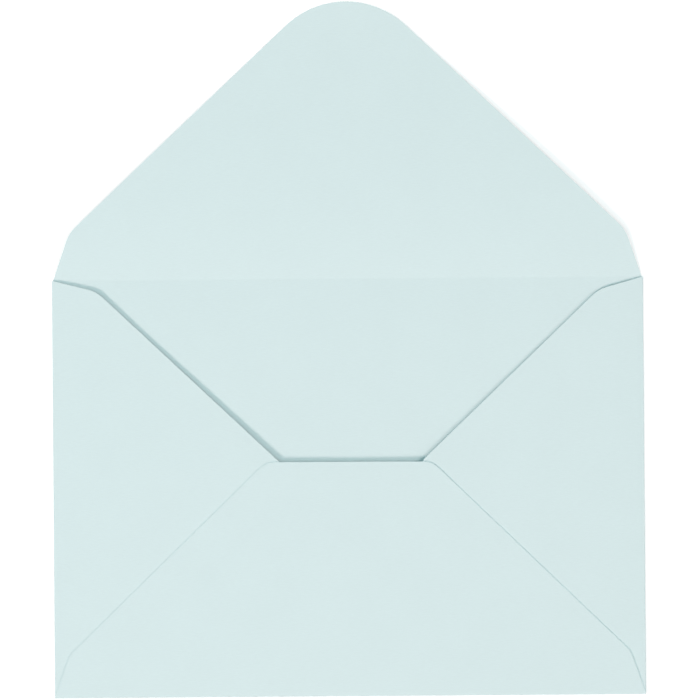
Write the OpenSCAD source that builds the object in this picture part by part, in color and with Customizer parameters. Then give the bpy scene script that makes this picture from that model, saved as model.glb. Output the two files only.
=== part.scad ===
// Paper envelope lying open on its front panel, with the top flap laid back.
// It is one die-cut sheet, folded at four creases and glued along two slanting seams.
// The origin is the centre of the front panel's outer face, and +Y points to the top flap.

/* [Body] */
// Width of the envelope, from side fold to side fold
body_w = 162; // [146:0.5:180]
// Height of the envelope, from the bottom fold to the crease of the top flap
body_h = 114.5; // [104:0.5:126]
// Thickness of the paper
paper_t = 0.15; // [0.1:0.01:0.25]
// Colour of the paper
paper_colour = "#d6e8e9"; // ["#d6e8e9":Pale blue, "#f3eee2":Ivory, "#fbfbf9":White]

/* [Top flap] */
// Height of the top flap, from its crease to its tip
flap_h = 76; // [64:0.5:88]
// Radius of the flap's rounded tip
flap_tip_r = 24; // [8:1:32]
// How far the top and bottom flaps' shoulders stand in from the side folds
shoulder_in = 4.8; // [3:0.1:8]
// Length of those shoulders, measured away from the crease
shoulder_h = 13; // [9:0.5:18]
// Radius of the shoulders' corners
shoulder_r = 10; // [2:0.5:14]
// Angle at which the opened flap leaves its crease before it sinks back
flap_spring = 4.5; // [1:0.5:8]

/* [Side flaps] */
// Height in which a side flap's upper edge turns from the fold towards the throat
throat_drop = 3.2; // [1.5:0.1:6]
// Distance from the side fold to that turn
throat_in = 12.2; // [8:0.1:18]
// Radius of that turn
throat_r = 6; // [1:0.5:12]
// Depth below the crease at which the two upper edges would meet
throat_depth = 68.7; // [62:0.1:76]
// Radius of the side flap's tip, which the bottom flap hides
side_tip_r = 8; // [2:0.5:12]

/* [Bottom flap] */
// Height of the bottom flap, from the bottom fold to its straight edge
bottom_flap_h = 64.4; // [56:0.1:72]
// Width of the straight edge, between its corners if they were sharp
bottom_edge_w = 46; // [36:0.5:56]
// Radius of the straight edge's corners
bottom_edge_r = 6; // [2:0.5:10]
// Width of the glued seam, where the bottom flap overlaps each side flap
seam_w = 12; // [7:0.5:15]

/* [Folds] */
// Clear space that a side fold holds between the two layers it joins
fold_space = 0.2; // [0.1:0.05:0.5]
// Width of the strip beside a fold that stays curled from the creasing
curl_w = 2; // [1:0.1:4]
// Extra height that the pocket gains over that strip
curl_h = 0.15; // [0.05:0.01:0.3]
// Clearance between the ends of two folds that meet at a corner
notch = 0.2; // [0.1:0.05:0.6]

/* [Pocket] */
// Height of the open pocket, from the front panel to the side flaps
pocket_space = 1.3; // [0.9:0.05:2.5]
// Distance from a fold in which the pocket reaches that height
pocket_run = 25; // [12:1:40]

/* [Hidden] */

// Largest turn between neighbouring points of a rounded corner, in degrees
arc_step = 4;
// Facets in which the pocket rises from a fold, and in which the top flap arches
rise_steps = 10;
arch_steps = 16;
// Fineness of the circles
$fn = 48;
// How far a cutting shape runs past what it cuts
over = 1;

// Each fold is half a tube, and the bottom fold also wraps the side flaps' layer
side_fold_r = fold_space / 2 + paper_t;
bottom_fold_r = side_fold_r + paper_t / 2;

// Lines at which the flat front panel ends
panel_x = body_w / 2 - side_fold_r;
crease_y = body_h / 2;
base_y = bottom_fold_r - body_h / 2;

// Ends of the folds
side_fold_top = crease_y - notch;
side_fold_base = base_y + notch;
foot_x = panel_x - notch;

// Half-width of the top and bottom flaps at their shoulders
shoulder_x = body_w / 2 - shoulder_in;
bottom_shoulder = [shoulder_x, shoulder_h - body_h / 2];
bottom_corner = [bottom_edge_w / 2, bottom_flap_h - body_h / 2];

// Sharp point that the top flap's rounded tip is cut from
tip_centre = [0, crease_y + flap_h - flap_tip_r];
flap_slope = slope_over_circle([shoulder_x, crease_y + shoulder_h], tip_centre, flap_tip_r);
flap_point = [0, crease_y + shoulder_h + shoulder_x * tan(flap_slope)];

// Line of the side flaps' hidden edges, one seam width inside the bottom flap's edge
seam_shift = seam_w * inward_of(bottom_shoulder, bottom_corner);
seam_line = [bottom_shoulder + seam_shift, bottom_corner + seam_shift];

// Corners of the right side flap
side_top = [panel_x, side_fold_top];
side_base = [panel_x, side_fold_base];
throat_corner = [body_w / 2 - throat_in, crease_y - throat_drop];
throat_meet = [0, crease_y - throat_depth];
side_tip = meet([throat_corner, throat_meet], seam_line);
side_corner = meet([side_base, side_base + [-throat_in, throat_drop]], seam_line);

// Outlines of the flaps, as corners [x, y, radius]
top_outline = both_sides([
    [foot_x, crease_y, 0],
    [shoulder_x, crease_y + shoulder_h, shoulder_r]
], [[flap_point.x, flap_point.y, flap_tip_r]]);
bottom_outline = both_sides([
    [foot_x, base_y, 0],
    [bottom_shoulder.x, bottom_shoulder.y, shoulder_r],
    [bottom_corner.x, bottom_corner.y, bottom_edge_r]
], []);
side_outline = [
    [side_top.x, side_top.y, 0],
    [throat_corner.x, throat_corner.y, throat_r],
    [side_tip.x, side_tip.y, side_tip_r],
    [side_corner.x, side_corner.y, throat_r],
    [side_base.x, side_base.y, 0]
];

// Unit vector from a to b
function towards(a, b) = (b - a) / norm(b - a);

// Unit vector that stands square to the line a-b, on its left
function inward_of(a, b) = let (d = towards(a, b)) [-d.y, d.x];

// Point where two lines cross, each given by two of its points
function meet(p, q) =
    let (u = p[1] - p[0], v = q[1] - q[0], w = q[0] - p[0])
    p[0] + u * (w.x * v.y - w.y * v.x) / (u.x * v.y - u.y * v.x);

// Slope angle of the line from p that touches the upper side of a circle left of p
function slope_over_circle(p, centre, r) =
    atan2(centre.y - p.y, p.x - centre.x) + asin(r / norm(centre - p));

// Right-hand corners, then those on the centre line, then the right-hand ones mirrored
function both_sides(right, middle) = concat(
    right,
    middle,
    [for (i = [len(right) - 1 : -1 : 0]) [-right[i].x, right[i].y, right[i].z]]
);

// Points of the arc that rounds corner b between its neighbours a and c
function rounded_corner(a, b, c, r) =
    let (
        u = towards(b, a),
        v = towards(b, c),
        half = acos(u * v) / 2,
        centre = b + towards([0, 0], u + v) * r / sin(half),
        start = b + u * r / tan(half) - centre,
        end = b + v * r / tan(half) - centre,
        turn = (180 - 2 * half) * sign(start.x * end.y - start.y * end.x),
        first = atan2(start.y, start.x),
        steps = ceil(abs(turn) / arc_step)
    )
    [for (i = [0 : steps]) centre + r * [cos(first + turn * i / steps), sin(first + turn * i / steps)]];

// Outline of corners [x, y, radius] as points
function rounded(corners) =
    let (n = len(corners), p = [for (c = corners) [c.x, c.y]])
    [for (i = [0 : n - 1]) each corners[i].z > 0
        ? rounded_corner(p[(i + n - 1) % n], p[i], p[(i + 1) % n], corners[i].z)
        : [p[i]]];

// Share of its full height that a sheet bent up at 0 has reached at u, flat from 1 on
function ease(u) = 1 - pow(1 - min(u, 1), 2);

// Height of the pocket at distance d from a fold
function pocket_at(d) =
    fold_space + curl_h * ease(d / curl_w) + (pocket_space - fold_space - curl_h) * ease(d / pocket_run);

// Distances from a fold at which that height is worked out, closest where it bends most
rise_at = [for (i = [0 : rise_steps]) pocket_run * pow(i / rise_steps, 2)];

// Height of the opened top flap at distance u from its crease: it springs up and its tip rests
function arch_at(u) = let (d = min(u, flap_h)) d * tan(flap_spring) * pow(1 - d / flap_h, 2);

// Section of the pocket across the envelope, raised by the paper layers in lift
function section_across(lift) = let (
    right = concat(
        [[panel_x + over, -over], [panel_x + over, paper_t + fold_space + lift]],
        [for (d = rise_at) [panel_x - d, paper_t + pocket_at(d) + lift]]
    ))
    concat(right, [for (i = [len(right) - 1 : -1 : 0]) [-right[i].x, right[i].y]]);

// Section of the pocket from the bottom fold up to the open throat
function section_up(lift) = concat(
    [[crease_y + over, -over], [base_y - over, -over], [base_y - over, paper_t + fold_space + lift]],
    [for (d = rise_at) [base_y + d, paper_t + pocket_at(d) + lift]],
    [[crease_y + over, paper_t + pocket_space + lift]]
);

// Section of the top flap, from its crease to past its tip
arch_u = [for (i = [0 : arch_steps]) flap_h * i / arch_steps + (i == arch_steps ? over : 0)];
arch_section = concat(
    [for (i = [0 : arch_steps]) [crease_y + arch_u[i], arch_at(arch_u[i])]],
    [for (i = [arch_steps : -1 : 0]) [crease_y + arch_u[i], arch_at(arch_u[i]) + paper_t]]
);

// Draws a section in X and Z, and runs it along Y from y0 to y1
module along_y(y0, y1) {
    translate([0, y1, 0]) rotate([90, 0, 0]) linear_extrude(y1 - y0) children();
}

// Draws a section in Y and Z, and runs it along X from x0 to x1
module along_x(x0, x1) {
    translate([x0, 0, 0]) rotate([90, 0, 90]) linear_extrude(x1 - x0) children();
}

// Everything below the sheet that lies over the pocket on the paper layers in lift
module below_sheet(lift) {
    intersection() {
        along_y(-body_h, body_h) polygon(section_across(lift));
        along_x(-body_w, body_w) polygon(section_up(lift));
    }
}

// One layer of paper over the pocket, cut to an outline
module pocket_flap(outline, lift) {
    difference() {
        intersection() {
            linear_extrude(body_h) polygon(rounded(outline));
            below_sheet(lift + paper_t);
        }
        below_sheet(lift);
    }
}

// Half of a tube's section, open to the left
module half_ring(r) {
    difference() {
        circle(r);
        circle(r - paper_t);
        translate([-2 * r, -2 * r]) square([2 * r, 4 * r]);
    }
}

module front_panel() {
    translate([-panel_x, base_y, 0]) cube([2 * panel_x, crease_y - base_y, paper_t]);
}

module side_flap() {
    along_y(side_fold_base, side_fold_top) translate([panel_x, side_fold_r]) half_ring(side_fold_r);
    pocket_flap(side_outline, 0);
}

module bottom_flap() {
    along_x(-foot_x, foot_x) translate([base_y, bottom_fold_r]) mirror([1, 0]) half_ring(bottom_fold_r);
    pocket_flap(bottom_outline, paper_t);
}

module top_flap() {
    intersection() {
        along_x(-body_w, body_w) polygon(arch_section);
        translate([0, 0, -over]) linear_extrude(body_h) polygon(rounded(top_outline));
    }
}

module envelope() {
    color(paper_colour) {
        front_panel();
        side_flap();
        mirror([1, 0, 0]) side_flap();
        bottom_flap();
        top_flap();
    }
}

envelope();
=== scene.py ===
"""A paper envelope, open and empty: one die-cut sheet, rounded, creased, folded and glued.

The sheet is cut flat, folded right over three of its creases, bent a little at the fourth and
given its thickness. It lies on a pale table, and the camera looks straight down on it. The sizes
sit in the Envelope tab of the sidebar.
"""
import math

import bmesh
import bpy
from bpy.props import FloatProperty, FloatVectorProperty, IntProperty, PointerProperty
from bpy.types import Operator, Panel, PropertyGroup
from mathutils import Matrix, Vector, noise


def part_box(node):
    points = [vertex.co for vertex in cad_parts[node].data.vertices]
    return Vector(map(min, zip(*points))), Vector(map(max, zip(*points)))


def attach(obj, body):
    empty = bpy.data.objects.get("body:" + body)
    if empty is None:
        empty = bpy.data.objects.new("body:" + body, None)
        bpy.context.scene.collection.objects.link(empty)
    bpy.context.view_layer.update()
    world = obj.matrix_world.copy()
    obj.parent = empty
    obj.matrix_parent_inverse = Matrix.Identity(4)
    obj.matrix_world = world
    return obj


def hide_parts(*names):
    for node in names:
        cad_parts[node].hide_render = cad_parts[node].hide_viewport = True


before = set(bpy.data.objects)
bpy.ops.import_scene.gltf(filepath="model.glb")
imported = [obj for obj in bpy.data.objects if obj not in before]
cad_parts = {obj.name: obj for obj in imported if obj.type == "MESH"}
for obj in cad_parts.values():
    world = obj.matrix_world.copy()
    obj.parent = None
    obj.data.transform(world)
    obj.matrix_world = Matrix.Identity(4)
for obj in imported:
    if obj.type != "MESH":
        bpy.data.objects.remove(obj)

bl_info = {
    "name": "Paper Envelope",
    "version": (1, 0, 0),
    "blender": (4, 5, 0),
    "location": "3D View > Sidebar > Envelope",
    "description": "Folds a paper envelope from its flat blank and lays it on a pale table",
    "category": "Add Mesh",
}

MM = 0.001
NODE = "envelope"
BODY = "root"
LOW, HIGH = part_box(NODE)
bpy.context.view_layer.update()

# The pocket takes the height that the three layers of paper and the room for their bends leave
PAPER_MM = 0.15
HEADROOM_MM = 0.22
POCKET_MM = HIGH.z / MM - 3 * PAPER_MM - HEADROOM_MM

# Largest turn between neighbouring points of a rounded corner
ARC_STEP = math.radians(4)
# Angle from which two faces meet in a sharp edge
SHARP_FROM = math.radians(40)
# How near a ruled line a point counts as lying on it
ON_LINE = 1e-6 * MM
# Share of a fold's small step by which a line is moved, so that no point lies just on it
STEP_MARGIN = 0.25
# Pattern of slow ripples that each part of the sheet takes
POCKET_RIPPLES, TOP_RIPPLES, FRONT_RIPPLES = 1, 2, 3
# Ranges that hold most values of one noise, and of the fibres' two noises added up
NOISE_RANGE = (0.3, 0.7)
FIBRES_RANGE = (0.7, 1.3)
# Directions in which the fibres lie on the flat sheet
FIBRE_TURNS = (0.5, -0.7)
# How far the roughness rises and falls with the fibres
ROUGH_SPREAD = 0.04


# Sizes and colours

def length(label, about, millimetres):
    """A length property, with its default given in millimetres."""
    return FloatProperty(
        name=label, description=about, default=millimetres * MM, min=0.0, unit="LENGTH"
    )


def angle(label, about, degrees):
    """An angle property, with its default given in degrees."""
    return FloatProperty(
        name=label, description=about, default=math.radians(degrees), subtype="ANGLE"
    )


def share(label, about, default):
    """A plain number from nought to one."""
    return FloatProperty(name=label, description=about, default=default, min=0.0, max=1.0)


def colour(label, about, default):
    """A linear colour."""
    return FloatVectorProperty(
        name=label, description=about, default=default, min=0.0, max=1.0, subtype="COLOR"
    )


class EnvelopeCut(PropertyGroup):
    """Outline of the folded envelope, which the flat blank is cut to give."""

    body_w: length("Body width", "From side fold to side fold", (HIGH.x - LOW.x) / MM)
    body_h: length("Body height", "From the bottom fold to the top crease", -2 * LOW.y / MM)
    flap_h: length("Top flap height", "From the crease to the flap's tip", (HIGH.y + LOW.y) / MM)
    flap_tip_r: length("Tip radius", "Radius of the top flap's rounded tip", 24)
    shoulder_in: length("Shoulder inset", "How far the shoulders stand in from the side folds", 4.8)
    shoulder_h: length("Shoulder length", "How far a shoulder runs from its crease", 13)
    shoulder_r: length("Shoulder radius", "Radius of the shoulders' corners", 10)
    throat_in: length("Throat inset", "From a side fold to the turn in its flap's upper edge", 12.2)
    throat_r: length("Throat radius", "Radius of that turn", 9)
    left_drop: length("Left drop", "Depth of the left flap's turn below the crease", 3.07)
    right_drop: length("Right drop", "Depth of the right flap's turn below the crease", 3.4)
    left_slope: angle("Left slope", "Slope of the left flap's upper edge past its turn", 43.35)
    right_slope: angle("Right slope", "Slope of the right flap's upper edge past its turn", 43.73)
    left_reach: length("Left reach", "From the left flap's turn along its edge to its tip", 69.5)
    right_reach: length("Right reach", "From the right flap's turn along its edge to its tip", 66.8)
    side_cut: angle("Side cut", "How steeply a side flap's tip is cut off", 66)
    side_tip_r: length("Side tip radius", "Radius of a side flap's tip", 1.5)
    bottom_flap_h: length("Bottom flap height", "From the bottom fold to its straight edge", 64.42)
    edge_drop: length("Edge drop", "How much lower the straight edge's right end is cut", 0.14)
    bottom_edge_w: length("Straight edge width", "Between its corners, if they were sharp", 45.45)
    bottom_edge_r: length("Straight edge radius", "Radius of the straight edge's corners", 6)
    seam_w: length("Seam width", "Overlap of the bottom flap on each side flap", 12)
    bottom_in: length("Bottom inset", "How far the bottom flap's shoulders stand in", 4.15)
    bottom_shoulder_h: length("Bottom shoulder", "Height of the bottom flap's shoulders", 11.95)
    bottom_shoulder_r: length("Bottom radius", "Radius of the bottom flap's shoulders", 5)
    slit: length("Slit", "Width of the cut between a side fold and the bottom fold", 0.02)
    notch: length("Notch", "Clearance between two folds that meet at a corner", 0.05)


class EnvelopeForm(PropertyGroup):
    """How the paper bends."""

    paper_t: length("Paper thickness", "Thickness of the sheet", PAPER_MM)
    fold_space: length("Fold space", "Clear space inside a side fold", 0.2)
    glue_gap: length("Glue gap", "Height of the glue between two layers of a seam", 0.004)
    pocket_space: length("Pocket height", "From the front panel to the side flaps", POCKET_MM)
    pocket_run: length("Pocket run", "Distance from a fold in which the pocket opens", 62)
    rim_run: length("Rim run", "Distance from a fold in which its rim rises", 13)
    curl_w: length("Curl width", "Strip beside a fold that stays curled", 2)
    curl: share("Curl", "Share of a rim's rise that lies in the curled strip", 0.25)
    left_rim: share("Left rim", "Share of the pocket's height gained at the left fold", 0.58)
    right_rim: share("Right rim", "Share of the pocket's height gained at the right fold", 0.5)
    base_rim: share("Bottom rim", "Share of the pocket's height gained at the bottom fold", 0.12)
    corner_lift: length("Corner lift", "How far the bottom flap's right corner stands up", 0.08)
    corner_run: length("Corner run", "How far from the corner that reaches", 16)
    foot_lift: length("Foot lift", "How far the bottom flap's ends stand up beside its fold", 0.03)
    foot_run: length("Foot run", "How far from those ends that reaches", 9)
    left_gap: length("Left gap", "How far the bottom flap stands off the left side flap", 0.03)
    left_run: length("Left run", "Distance in which it rises to that height", 20)
    sag: length("Sag", "How far the middle of the bottom flap's edge hangs down", 0.08)
    sag_run: length("Sag run", "How far from the middle that reaches", 26)
    spring: angle("Flap spring", "Angle at which the opened flap leaves its crease", 5.5)
    bow_h: length("Front bow", "How far the front panel bows up off the table", 0.25)
    bow_run: length("Bow run", "Distance from the panel's edges in which it bows", 22)
    bow_reach: length("Bow reach", "Distance from the crease in which the bow sinks back", 60)
    ripple_h: length("Ripple height", "Height of the paper's slow ripples", 0.08)
    ripple_l: length("Ripple length", "Length of the paper's slow ripples", 46)
    grid: length("Mesh spacing", "Spacing of the mesh lines on the flat panels", 2)
    fold_steps: IntProperty(
        name="Fold steps", description="Small turns that make up one fold", default=8, min=3
    )
    curl_steps: IntProperty(
        name="Curl steps", description="Mesh lines across a fold's curled strip", default=5, min=1
    )


class EnvelopePaper(PropertyGroup):
    """Finish of the paper."""

    tint: colour("Paper", "Colour of the paper, the same on both sides", (0.6617, 0.807, 0.8155))
    fleck_tint: colour("Fleck", "Colour of the few dark flecks in the pulp", (0.36, 0.45, 0.46))
    cloud: share("Cloudiness", "Strength of the sheet's slow changes of tone", 0.006)
    mottle: share("Mottle", "Strength of the fibres' fine changes of tone", 0.014)
    cloud_l: length("Cloud size", "Size of the slow changes of tone", 14)
    fibre_l: length("Fibre length", "Length of the fibres that show in the surface", 1.6)
    fibre_w: length("Fibre width", "Width of the fibres that show in the surface", 0.22)
    tooth_l: length("Tooth size", "Size of the surface's fine tooth", 0.3)
    tooth_h: length("Tooth height", "Height of the surface's fine tooth", 0.006)
    fleck_gap: length("Fleck spacing", "Typical distance between flecks", 48)
    fleck_r: length("Fleck size", "Radius of a fleck", 0.22)
    roughness: share("Roughness", "How matt the paper is", 0.88)
    gloss: share("Gloss", "Level of the paper's faint gloss", 0.25)


class EnvelopeStage(PropertyGroup):
    """Table, light and camera."""

    table_tint: colour("Table", "Colour of the table top", (0.82, 0.82, 0.82))
    table_lift: share("Table glow", "Extra white that the camera sees on the table", 0.38)
    table_gap: length("Table gap", "How far the table top lies below the paper", 0.05)
    table_w: length("Table width", "Width of the table top", 12000)
    sky: share("Sky", "Light that reaches the table evenly from all round", 0.298)
    cool_tint: colour("Cool light", "Colour of the even light and the top light", (0.73, 0.98, 1))
    fill_tint: colour("Fill colour", "Colour of the second lamp", (1, 0.82, 0.8))
    warm_tint: colour("Warm light", "Colour of the main lamp", (1, 0.75, 0.725))
    key_level: share("Key light", "Light that the main soft lamp lays on the table", 0.3641)
    key_far: length("Key distance", "From the main lamp to the envelope", 6000)
    key_w: length("Key width", "Width of the main lamp", 2200)
    key_h: length("Key height", "Height of the main lamp", 1250)
    key_lean: angle("Key lean", "How far the main lamp's light leans from straight down", 58)
    key_turn: angle("Key turn", "Where the main lamp stands, counted from the right", 223)
    fill_level: share("Fill light", "Light that the second soft lamp lays on the table", 0.326)
    fill_far: length("Fill distance", "From the second lamp to the envelope", 8000)
    fill_w: length("Fill width", "Width of the second lamp", 4700)
    fill_h: length("Fill height", "Height of the second lamp", 4700)
    fill_lean: angle("Fill lean", "How far the second lamp's light leans", 55)
    fill_turn: angle("Fill turn", "Where the second lamp stands, counted from the right", 7)
    top_level: share("Top light", "Light that the lamp overhead lays on the table", 0.246)
    top_far: length("Top distance", "From the lamp overhead to the envelope", 1600)
    top_w: length("Top width", "Width of the lamp overhead", 1300)
    top_h: length("Top depth", "Depth of the lamp overhead", 1300)
    top_lean: angle("Top lean", "How far the lamp overhead stands off the middle", 26)
    top_turn: angle("Top turn", "Where the lamp overhead stands, counted from the right", 180)
    lens: FloatProperty(
        name="Lens", description="Focal length of the camera", default=150, min=1, unit="CAMERA"
    )
    view_w: length("View width", "Width of what the camera sees at the paper", 191.96)
    view_x: FloatProperty(
        name="View X", description="Middle of the view across", default=0.55 * MM, unit="LENGTH"
    )
    view_y: FloatProperty(
        name="View Y", description="Middle of the view up", default=37.7 * MM, unit="LENGTH"
    )
    view_roll: angle("View roll", "How far the camera is turned about its line of sight", -0.433)


# Cutting, folding and bending the sheet

class Layout:
    """Lines and radii that cutting and folding share, worked out from the sizes."""

    def __init__(self, cut, form):
        # The corners of a fold's flat steps lie on the round fold, and their middles inside it
        flat_part = math.cos(math.pi / 2 / form.fold_steps)
        half_t = form.paper_t / 2
        self.side_r = (form.fold_space / 2 + half_t) * flat_part
        self.base_r = (form.fold_space / 2 + form.paper_t + form.glue_gap / 2) * flat_part
        self.panel_x = cut.body_w / 2 - form.fold_space / 2 - form.paper_t
        self.crease_y = cut.body_h / 2
        self.base_y = (form.fold_space + 3 * form.paper_t + form.glue_gap - cut.body_h) / 2
        self.steps = form.fold_steps
        self.side_chord = 2 * self.side_r * math.tan(math.pi / 2 / self.steps)
        self.base_chord = 2 * self.base_r * math.tan(math.pi / 2 / self.steps)
        self.side_end = self.panel_x + self.side_chord * self.steps
        self.base_end = self.base_y - self.base_chord * self.steps

    def unfold_x(self, x):
        """Where a point of the folded right side flap lies on the flat blank."""
        return self.side_end + self.panel_x - x

    def unfold_y(self, y):
        """Where a point of the folded bottom flap lies on the flat blank."""
        return self.base_end + self.base_y - y


def crossing(p, q, r, s):
    """Point where the lines p-q and r-s cross."""
    u, v, w = q - p, s - r, r - p
    return p + u * w.cross(v) / u.cross(v)


def slope_over_circle(p, centre, radius):
    """Slope of the line from p that touches the upper side of a circle on its left."""
    gap = p - centre
    return math.atan2(-gap.y, gap.x) + math.asin(radius / gap.length)


def half_blank(cut, lay, drop, slope, reach, edge_drop):
    """Corners (x, y, radius) of the blank's right half, from the top flap to the bottom flap."""
    foot_x = lay.panel_x - cut.notch
    side_top = lay.crease_y - cut.notch
    side_base = lay.base_y + cut.notch
    corner_x = cut.body_w / 2 - cut.slit
    shoulder = Vector((cut.body_w / 2 - cut.bottom_in, cut.bottom_shoulder_h - cut.body_h / 2))
    corner = Vector((cut.bottom_edge_w / 2, cut.bottom_flap_h - cut.body_h / 2 - edge_drop))
    edge = (corner - shoulder).normalized()
    seam = Vector((-edge.y, edge.x)) * cut.seam_w
    seam_line = (shoulder + seam, corner + seam)

    throat = Vector((cut.body_w / 2 - cut.throat_in, lay.crease_y - drop))
    tip = throat - reach * Vector((math.cos(slope), math.sin(slope)))
    cut_off = Vector((-math.cos(cut.side_cut), -math.sin(cut.side_cut)))
    tip_base = crossing(tip, tip + cut_off, *seam_line)
    base = Vector((lay.panel_x, side_base))
    side_corner = crossing(base, base + Vector((-cut.throat_in, drop)), *seam_line)

    return [
        (cut.body_w / 2 - cut.shoulder_in, lay.crease_y + cut.shoulder_h, cut.shoulder_r),
        (foot_x, lay.crease_y, 0),
        (lay.panel_x, lay.crease_y, 0),
        (lay.panel_x, side_top, 0),
        (lay.side_end, side_top, 0),
        (lay.unfold_x(throat.x), throat.y, cut.throat_r),
        (lay.unfold_x(tip.x), tip.y, cut.side_tip_r),
        (lay.unfold_x(tip_base.x), tip_base.y, cut.side_tip_r),
        (lay.unfold_x(side_corner.x), side_corner.y, cut.throat_r),
        (lay.side_end, side_base, 0),
        (lay.panel_x, side_base, 0),
        (lay.panel_x, side_base - cut.slit, 0),
        (corner_x, side_base - cut.slit, 0),
        (corner_x, lay.base_y, 0),
        (corner_x, lay.base_end, 0),
        (shoulder.x, lay.unfold_y(shoulder.y), cut.bottom_shoulder_r),
        (corner.x, lay.unfold_y(corner.y), cut.bottom_edge_r),
    ]


def blank_corners(cut, lay):
    """Corners (x, y, radius) of the flat blank, clockwise from the top flap's tip."""
    right = half_blank(cut, lay, cut.right_drop, cut.right_slope, cut.right_reach, cut.edge_drop)
    left = half_blank(cut, lay, cut.left_drop, cut.left_slope, cut.left_reach, 0)
    shoulder = Vector(right[0][:2])
    tip_centre = Vector((0, lay.crease_y + cut.flap_h - cut.flap_tip_r))
    slope = slope_over_circle(shoulder, tip_centre, cut.flap_tip_r)
    flap_point = (0, shoulder.y + shoulder.x * math.tan(slope), cut.flap_tip_r)
    return [flap_point, *right, *((-x, y, r) for x, y, r in reversed(left))]


def round_corner(bm, vert, before, after, radius):
    """Rounds one corner of a flat outline, and trues the new points up to the circle."""
    corner = vert.co.copy()
    u, v = (before - corner).normalized(), (after - corner).normalized()
    half = u.angle(v) / 2
    turn = math.pi - 2 * half
    made = bmesh.ops.bevel(
        bm,
        geom=[vert],
        offset=radius / math.tan(half),
        offset_type="OFFSET",
        affect="VERTICES",
        segments=max(2, math.ceil(turn / ARC_STEP)),
        profile=0.5,
        material=-1,
    )
    centre = corner + (u + v).normalized() * radius / math.sin(half)
    for w in made["verts"]:
        w.co = centre + (w.co - centre).normalized() * radius


def cut_blank(bm, corners):
    """Cuts the flat blank as one face, facing up, with every corner rounded."""
    places = [Vector((x, y, 0)) for x, y, _ in corners]
    verts = [bm.verts.new(p) for p in places]
    bm.faces.new(reversed(verts))
    for i, (_, _, radius) in enumerate(corners):
        if radius:
            after = places[(i + 1) % len(places)]
            round_corner(bm, verts[i], places[i - 1], after, radius)


def rule(bm, axis, places):
    """Rules lines across the sheet at these places along an axis, so that it can bend there."""
    normal = Vector((0, 0, 0))
    normal[axis] = 1
    for place in places:
        bmesh.ops.bisect_plane(
            bm,
            geom=bm.verts[:] + bm.edges[:] + bm.faces[:],
            dist=ON_LINE,
            plane_co=normal * place,
            plane_no=normal,
        )


def spaced(start, end, step):
    """Even places from start to end, about a step apart."""
    count = max(1, math.ceil(abs(end - start) / step))
    return [start + (end - start) * i / count for i in range(count + 1)]


def rule_sheet(bm, cut, form, lay):
    """Rules the sheet into a mesh, closer beside the folds and closest along them."""
    curl = [form.curl_w * (i + 1) / form.curl_steps for i in range(form.curl_steps)]
    side_roll = [lay.panel_x + lay.side_chord * (i + 0.5) for i in range(lay.steps)]
    base_roll = [lay.base_y - lay.base_chord * (i + 0.5) for i in range(lay.steps)]

    across = spaced(0, lay.panel_x - form.curl_w, form.grid)
    across += [lay.panel_x, *(lay.panel_x - c for c in curl)]
    flap_across = [lay.unfold_x(x) for x in across if x > 0]
    right = [x for x in across if x > 0] + side_roll + flap_across
    rule(bm, 0, sorted({0.0, *right, *(-x for x in right)}))

    up = spaced(lay.base_y + form.curl_w, lay.crease_y - form.curl_w, form.grid)
    up += [lay.base_y, *(lay.base_y + c for c in curl)]
    flap_up = [lay.unfold_y(y) for y in up if y < cut.bottom_flap_h - cut.body_h / 2]
    top = spaced(lay.crease_y + form.curl_w, lay.crease_y + cut.flap_h, form.grid)
    beside = [lay.crease_y, *(lay.crease_y + side * c for c in curl for side in (-1, 1))]
    rule(bm, 1, sorted({*up, *base_roll, *flap_up, *top, *beside}))


def fold_over(bm, part, flat, axis, side, start, chord, steps):
    """Folds what lies past a line in a part right over, in small turns from the far end on."""
    spin = Vector((0, side, 0)) if axis == 0 else Vector((-side, 0, 0))
    for i in reversed(range(steps)):
        line = start + chord * (i + 0.5)
        centre = Vector((0, 0, 0))
        centre[axis] = side * line
        beyond = [v for v in part if side * flat[v][axis] > line - STEP_MARGIN * chord]
        turn = Matrix.Rotation(-math.pi / steps, 3, spin)
        bmesh.ops.rotate(bm, cent=centre, matrix=turn, verts=beyond)


def ease(u):
    """Share of its height that a sheet bent up at 0 has reached at u, level from 1 on."""
    return 1 - (1 - min(max(u, 0), 1)) ** 2


def ripple(form, x, y, layer):
    """Slow ripple of the paper at a place, from 0 to the ripple height."""
    at = Vector((x / form.ripple_l, y / form.ripple_l, layer))
    return form.ripple_h * (0.5 + 0.5 * noise.noise(at))


def opening(form, distance, rim):
    """Share of its height that the pocket has reached at a distance from a fold."""
    curled = form.curl * ease(distance / form.curl_w)
    steep = rim * (curled + (1 - form.curl) * ease(distance / form.rim_run))
    return steep + (1 - rim) * min(max(distance / form.pocket_run, 0), 1)


def nearby(place, centre, run):
    """1 at a centre, falling smoothly to nought at a distance from it."""
    return (1 - min((place - centre).length / run, 1) ** 2) ** 2


def bottom_lift(cut, form, place, base_y):
    """How far the bottom flap stands off the side flaps at a place."""
    edge_y = cut.bottom_flap_h - cut.body_h / 2
    corner = Vector(((cut.bottom_edge_w - cut.bottom_edge_r) / 2, edge_y))
    middle = Vector((0, edge_y))
    foot = Vector((cut.body_w / 2 - cut.shoulder_in, cut.shoulder_h / 2 - cut.body_h / 2))
    lift = form.corner_lift * nearby(place, corner, form.corner_run)
    lift -= form.sag * nearby(place, middle, form.sag_run)
    left_lift = form.left_gap * ease(-place.x / form.left_run)
    lift += left_lift * ease((place.y - base_y) / form.left_run)
    for side in (-1, 1):
        lift += form.foot_lift * nearby(place, Vector((side * foot.x, foot.y)), form.foot_run)
    return lift


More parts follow.
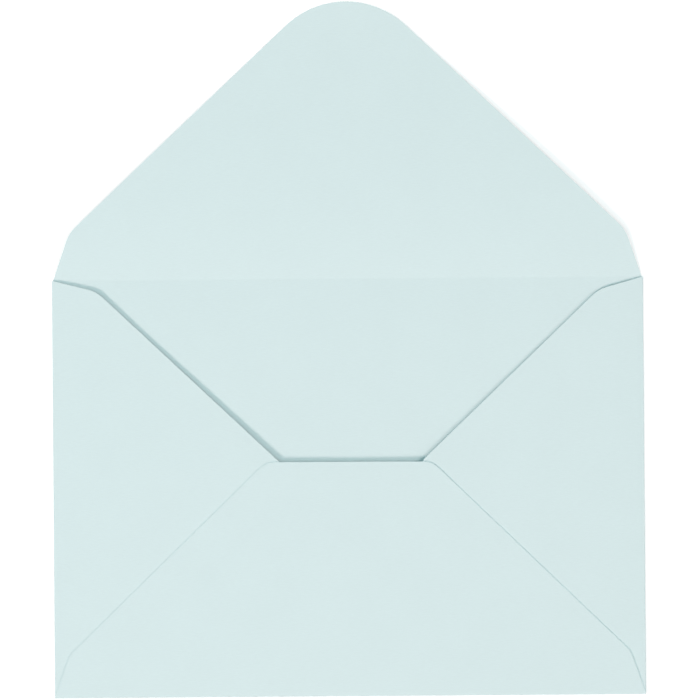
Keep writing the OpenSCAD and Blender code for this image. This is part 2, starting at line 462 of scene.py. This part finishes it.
def bend_sheet(bm, flat, cut, form, lay):
    """Gives the folded layers their gentle curves: the pocket, the front's bow and the flap."""
    spring = math.tan(form.spring)
    run = form.bow_run
    for v in bm.verts:
        x, y = abs(v.co.x), v.co.y
        across, up = lay.panel_x - x, y - lay.base_y
        past_side = abs(flat[v].x) > lay.side_end - STEP_MARGIN * lay.side_chord
        past_base = flat[v].y < lay.base_end + STEP_MARGIN * lay.base_chord
        if past_side or past_base:
            rim = form.left_rim if v.co.x < 0 else form.right_rim
            open_share = opening(form, across, rim) * opening(form, up, form.base_rim)
            rise = form.pocket_space - form.fold_space - ripple(form, v.co.x, y, POCKET_RIPPLES)
            v.co.z += open_share * rise
            if past_base:
                v.co.z += bottom_lift(cut, form, v.co.xy, lay.base_y)
        elif y > lay.crease_y:
            u = min(y - lay.crease_y, cut.flap_h)
            v.co.z += u * spring * (1 - u / cut.flap_h) ** 2
            v.co.z += ease(u / run) * ripple(form, v.co.x, y, TOP_RIPPLES)
        elif across > 0 and up > 0:
            down = lay.crease_y - y
            inside = ease(across / run) * ease(up / run) * ease(down / run)
            bow = form.bow_h * (1 - min(down / form.bow_reach, 1) ** 2)
            v.co.z += inside * (bow + ripple(form, v.co.x, y, FRONT_RIPPLES))


def keep_blank_as_uv(bm, flat):
    """Keeps each point's place on the flat blank as its UV, so that the grain follows the sheet."""
    layer = bm.loops.layers.uv.new("Blank")
    for face in bm.faces:
        for loop in face.loops:
            loop[layer].uv = flat[loop.vert]


def apply_thickness(piece, thickness):
    """Gives the sheet its thickness, half to each side, and leaves no modifier on it."""
    solid = piece.modifiers.new("Thickness", "SOLIDIFY")
    solid.thickness = thickness
    solid.offset = 0
    solid.use_even_offset = True
    solid.use_quality_normals = True
    with bpy.context.temp_override(object=piece, active_object=piece):
        bpy.ops.object.modifier_apply(modifier=solid.name)


# Paper, table and light

class NodeMaker:
    """Adds and links shader nodes in one tree."""

    def __init__(self, tree):
        self.tree = tree
        tree.nodes.clear()

    def add(self, kind, settings=None, **inputs):
        """A node of a kind, with its own settings, and with values or sockets on its inputs."""
        node = self.tree.nodes.new("ShaderNode" + kind)
        for name, value in (settings or {}).items():
            setattr(node, name, value)
        for name, value in inputs.items():
            socket = node.inputs[int(name[1:]) if name[0] == "_" else name.replace("_", " ")]
            if isinstance(value, bpy.types.NodeSocket):
                self.tree.links.new(value, socket)
            else:
                socket.default_value = value
        return node.outputs

    def combine(self, operation, a, b):
        """Two values brought together by one of the Math node's operations."""
        return self.add("Math", {"operation": operation}, _0=a, _1=b)["Value"]

    def spread(self, value, span, low, high):
        """A value that runs from low to high while another one runs over a span."""
        start, end = span
        return self.add(
            "MapRange", Value=value, From_Min=start, From_Max=end, To_Min=low, To_Max=high
        )["Result"]


def paper_material(paper):
    """Uncoated paper: slow clouds, fine fibres, a few dark flecks and a fine tooth."""
    material = bpy.data.materials.new("Pale blue paper")
    material.use_nodes = True
    maker = NodeMaker(material.node_tree)
    place = maker.add("UVMap", {"uv_map": "Blank"})["UV"]

    cloud = maker.add(
        "TexNoise", Vector=place, Scale=1 / paper.cloud_l, Detail=3.0, Roughness=0.55
    )["Fac"]
    stretch = (1 / paper.fibre_l, 1 / paper.fibre_w, 1)
    lays = [
        maker.add("Mapping", Vector=place, Scale=stretch, Rotation=(0, 0, turn))["Vector"]
        for turn in FIBRE_TURNS
    ]
    strands = [
        maker.add("TexNoise", Vector=lay, Scale=1.0, Detail=2.0, Distortion=0.6)["Fac"]
        for lay in lays
    ]
    fibres = maker.combine("ADD", *strands)
    cloud_tone = maker.spread(cloud, NOISE_RANGE, 1 - paper.cloud, 1 + paper.cloud)
    fibre_tone = maker.spread(fibres, FIBRES_RANGE, 1 - paper.mottle, 1 + paper.mottle)
    tone = maker.combine("MULTIPLY", cloud_tone, fibre_tone)
    toned = maker.add(
        "VectorMath", {"operation": "SCALE"}, _0=tuple(paper.tint), Scale=tone
    )["Vector"]

    cells = maker.add("TexVoronoi", Vector=place, Scale=1 / paper.fleck_gap)
    size = paper.fleck_r / paper.fleck_gap
    spot = maker.spread(cells["Distance"], (size / 2, size), 1.0, 0.0)
    strength = maker.add("SeparateColor", Color=cells["Color"])["Red"]
    fleck = maker.combine("MULTIPLY", spot, strength)
    tint = maker.add(
        "Mix", {"data_type": "RGBA"}, _0=fleck, _6=toned, _7=(*paper.fleck_tint, 1)
    )[2]

    tooth = maker.add(
        "TexNoise", Vector=place, Scale=1 / paper.tooth_l, Detail=3.0, Roughness=0.6
    )["Fac"]
    relief = maker.combine("ADD", tooth, fibres)
    bump = maker.add("Bump", Height=relief, Strength=1.0, Distance=paper.tooth_h)["Normal"]
    smooth, rough = paper.roughness - ROUGH_SPREAD, paper.roughness + ROUGH_SPREAD
    surface = maker.add(
        "BsdfPrincipled",
        Base_Color=tint,
        Roughness=maker.spread(fibres, FIBRES_RANGE, smooth, rough),
        Specular_IOR_Level=paper.gloss,
        Normal=bump,
    )["BSDF"]
    maker.add("OutputMaterial", Surface=surface)
    return material


def seen_directly(maker):
    """1 where a ray comes from the camera, a gloss or a clear surface, and 0 for plain light."""
    path = maker.add("LightPath")
    shiny = maker.combine("MAXIMUM", path["Is Glossy Ray"], path["Is Transmission Ray"])
    return maker.combine("MAXIMUM", path["Is Camera Ray"], shiny)


def table_material(stage):
    """Pale matt table top, which the camera sees as white where nothing shades it."""
    material = bpy.data.materials.new("Pale table")
    material.use_nodes = True
    maker = NodeMaker(material.node_tree)
    top = maker.add("BsdfDiffuse", Color=(*stage.table_tint, 1))["BSDF"]
    level = maker.combine("MULTIPLY", seen_directly(maker), stage.table_lift)
    glow = maker.add("Emission", Color=(1, 1, 1, 1), Strength=level)["Emission"]
    both = maker.add("AddShader", _0=top, _1=glow)["Shader"]
    maker.add("OutputMaterial", Surface=both)
    return material


def light_world(stage):
    """Even light from all round, which the camera sees as white."""
    world = bpy.data.worlds.new("Even light")
    world.use_nodes = True
    bpy.context.scene.world = world
    maker = NodeMaker(world.node_tree)
    light = maker.add("Background", Color=(*stage.cool_tint, 1), Strength=stage.sky)["Background"]
    white = maker.add("Background", Color=(1, 1, 1, 1), Strength=1.0)["Background"]
    seen = seen_directly(maker)
    both = maker.add("MixShader", _0=seen, _1=light, _2=white)["Shader"]
    maker.add("OutputWorld", Surface=both)


def link(name, data):
    """A new object in the scene."""
    made = bpy.data.objects.new(name, data)
    bpy.context.scene.collection.objects.link(made)
    return made


def hang_lamp(name, tint, target, level, far, width, height, lean, turn):
    """A soft flat lamp that faces a point, and lays this level of light on the table there.

    Its energy grows with the square of its distance, and makes up for how low its light comes in.
    """
    lamp = link(name, bpy.data.lights.new(name, "AREA"))
    lamp.data.shape = "RECTANGLE"
    lamp.data.size = width
    lamp.data.size_y = height
    lamp.data.color = tint
    lamp.data.energy = level * (math.pi * far) ** 2 / math.cos(lean)
    out = math.sin(lean)
    towards = Vector((out * math.cos(turn), out * math.sin(turn), math.cos(lean)))
    lamp.location = target + towards * far
    lamp.rotation_euler = towards.to_track_quat("Z", "Y").to_euler()


# Operators, panel and start

class ENVELOPE_OT_fold_sheet(Operator):
    """Cut the blank, fold it into the envelope and give it its paper"""

    bl_idname = "envelope.fold_sheet"
    bl_label = "Fold Envelope"
    bl_options = {"REGISTER", "UNDO"}

    def execute(self, context):
        cut, form = context.scene.envelope_cut, context.scene.envelope_form
        lay = Layout(cut, form)
        bm = bmesh.new()
        cut_blank(bm, blank_corners(cut, lay))
        rule_sheet(bm, cut, form, lay)
        flat = {v: v.co.xy for v in bm.verts}
        keep_blank_as_uv(bm, flat)
        above_slits = [v for v in bm.verts if v.co.y > lay.base_y + cut.notch - cut.slit / 2]
        for side in (-1, 1):
            fold_over(bm, above_slits, flat, 0, side, lay.panel_x, lay.side_chord, lay.steps)
        fold_over(bm, bm.verts[:], flat, 1, -1, -lay.base_y, lay.base_chord, lay.steps)
        bend_sheet(bm, flat, cut, form, lay)
        bmesh.ops.translate(bm, vec=(0, 0, form.paper_t / 2), verts=bm.verts[:])

        mesh = bpy.data.meshes.new("folded_sheet")
        bm.to_mesh(mesh)
        bm.free()
        sheet = link("folded_sheet", mesh)
        apply_thickness(sheet, form.paper_t)
        sheet.data.shade_smooth()
        sheet.data.set_sharp_from_angle(angle=SHARP_FROM)
        sheet.data.materials.append(paper_material(context.scene.envelope_paper))
        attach(sheet, BODY)
        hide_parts(NODE)
        return {"FINISHED"}


class ENVELOPE_OT_set_stage(Operator):
    """Lay the pale table, hang the three soft lamps and set the camera straight above"""

    bl_idname = "envelope.set_stage"
    bl_label = "Set Stage"
    bl_options = {"REGISTER", "UNDO"}

    def execute(self, context):
        stage = context.scene.envelope_stage
        bm = bmesh.new()
        bmesh.ops.create_grid(bm, x_segments=1, y_segments=1, size=stage.table_w / 2)
        bmesh.ops.translate(bm, vec=(0, 0, -stage.table_gap), verts=bm.verts[:])
        mesh = bpy.data.meshes.new("table")
        bm.to_mesh(mesh)
        bm.free()
        table = link("table", mesh)
        table.data.materials.append(table_material(stage))

        light_world(stage)
        middle = Vector((stage.view_x, stage.view_y, 0))
        for lamp, tint in (
            ("key", stage.warm_tint),
            ("fill", stage.fill_tint),
            ("top", stage.cool_tint),
        ):
            parts = ("level", "far", "w", "h", "lean", "turn")
            sizes = [getattr(stage, f"{lamp}_{part}") for part in parts]
            hang_lamp(f"{lamp}_lamp", tint, middle, *sizes)

        camera = link("camera", bpy.data.cameras.new("camera"))
        camera.data.lens = stage.lens
        distance = stage.view_w * camera.data.lens / camera.data.sensor_width
        camera.location = middle + Vector((0, 0, distance))
        camera.rotation_euler = (0, 0, stage.view_roll)
        context.scene.camera = camera
        context.scene.view_settings.view_transform = "Standard"
        return {"FINISHED"}


class ENVELOPE_PT_sidebar(Panel):
    """Sizes, colours and steps of the envelope"""

    bl_idname = "ENVELOPE_PT_sidebar"
    bl_label = "Envelope"
    bl_space_type = "VIEW_3D"
    bl_region_type = "UI"
    bl_category = "Envelope"

    def draw(self, context):
        for operator, groups in (
            (ENVELOPE_OT_fold_sheet, ("envelope_cut", "envelope_form", "envelope_paper")),
            (ENVELOPE_OT_set_stage, ("envelope_stage",)),
        ):
            self.layout.operator(operator.bl_idname)
            for group in groups:
                sizes = getattr(context.scene, group)
                column = self.layout.column(align=True)
                for name in sizes.__annotations__:
                    column.prop(sizes, name)


GROUPS = {
    "envelope_cut": EnvelopeCut,
    "envelope_form": EnvelopeForm,
    "envelope_paper": EnvelopePaper,
    "envelope_stage": EnvelopeStage,
}
CLASSES = (*GROUPS.values(), ENVELOPE_OT_fold_sheet, ENVELOPE_OT_set_stage, ENVELOPE_PT_sidebar)


def register():
    """Makes the operators and the panel known, and adds the sizes to the scene."""
    for cls in CLASSES:
        bpy.utils.register_class(cls)
    for name, group in GROUPS.items():
        setattr(bpy.types.Scene, name, PointerProperty(type=group))


def unregister():
    """Takes back what register does."""
    for name in GROUPS:
        delattr(bpy.types.Scene, name)
    for cls in reversed(CLASSES):
        bpy.utils.unregister_class(cls)


def main():
    """Folds the envelope and sets the stage."""
    register()
    bpy.ops.envelope.fold_sheet()
    bpy.ops.envelope.set_stage()


if __name__ == "__main__":
    main()
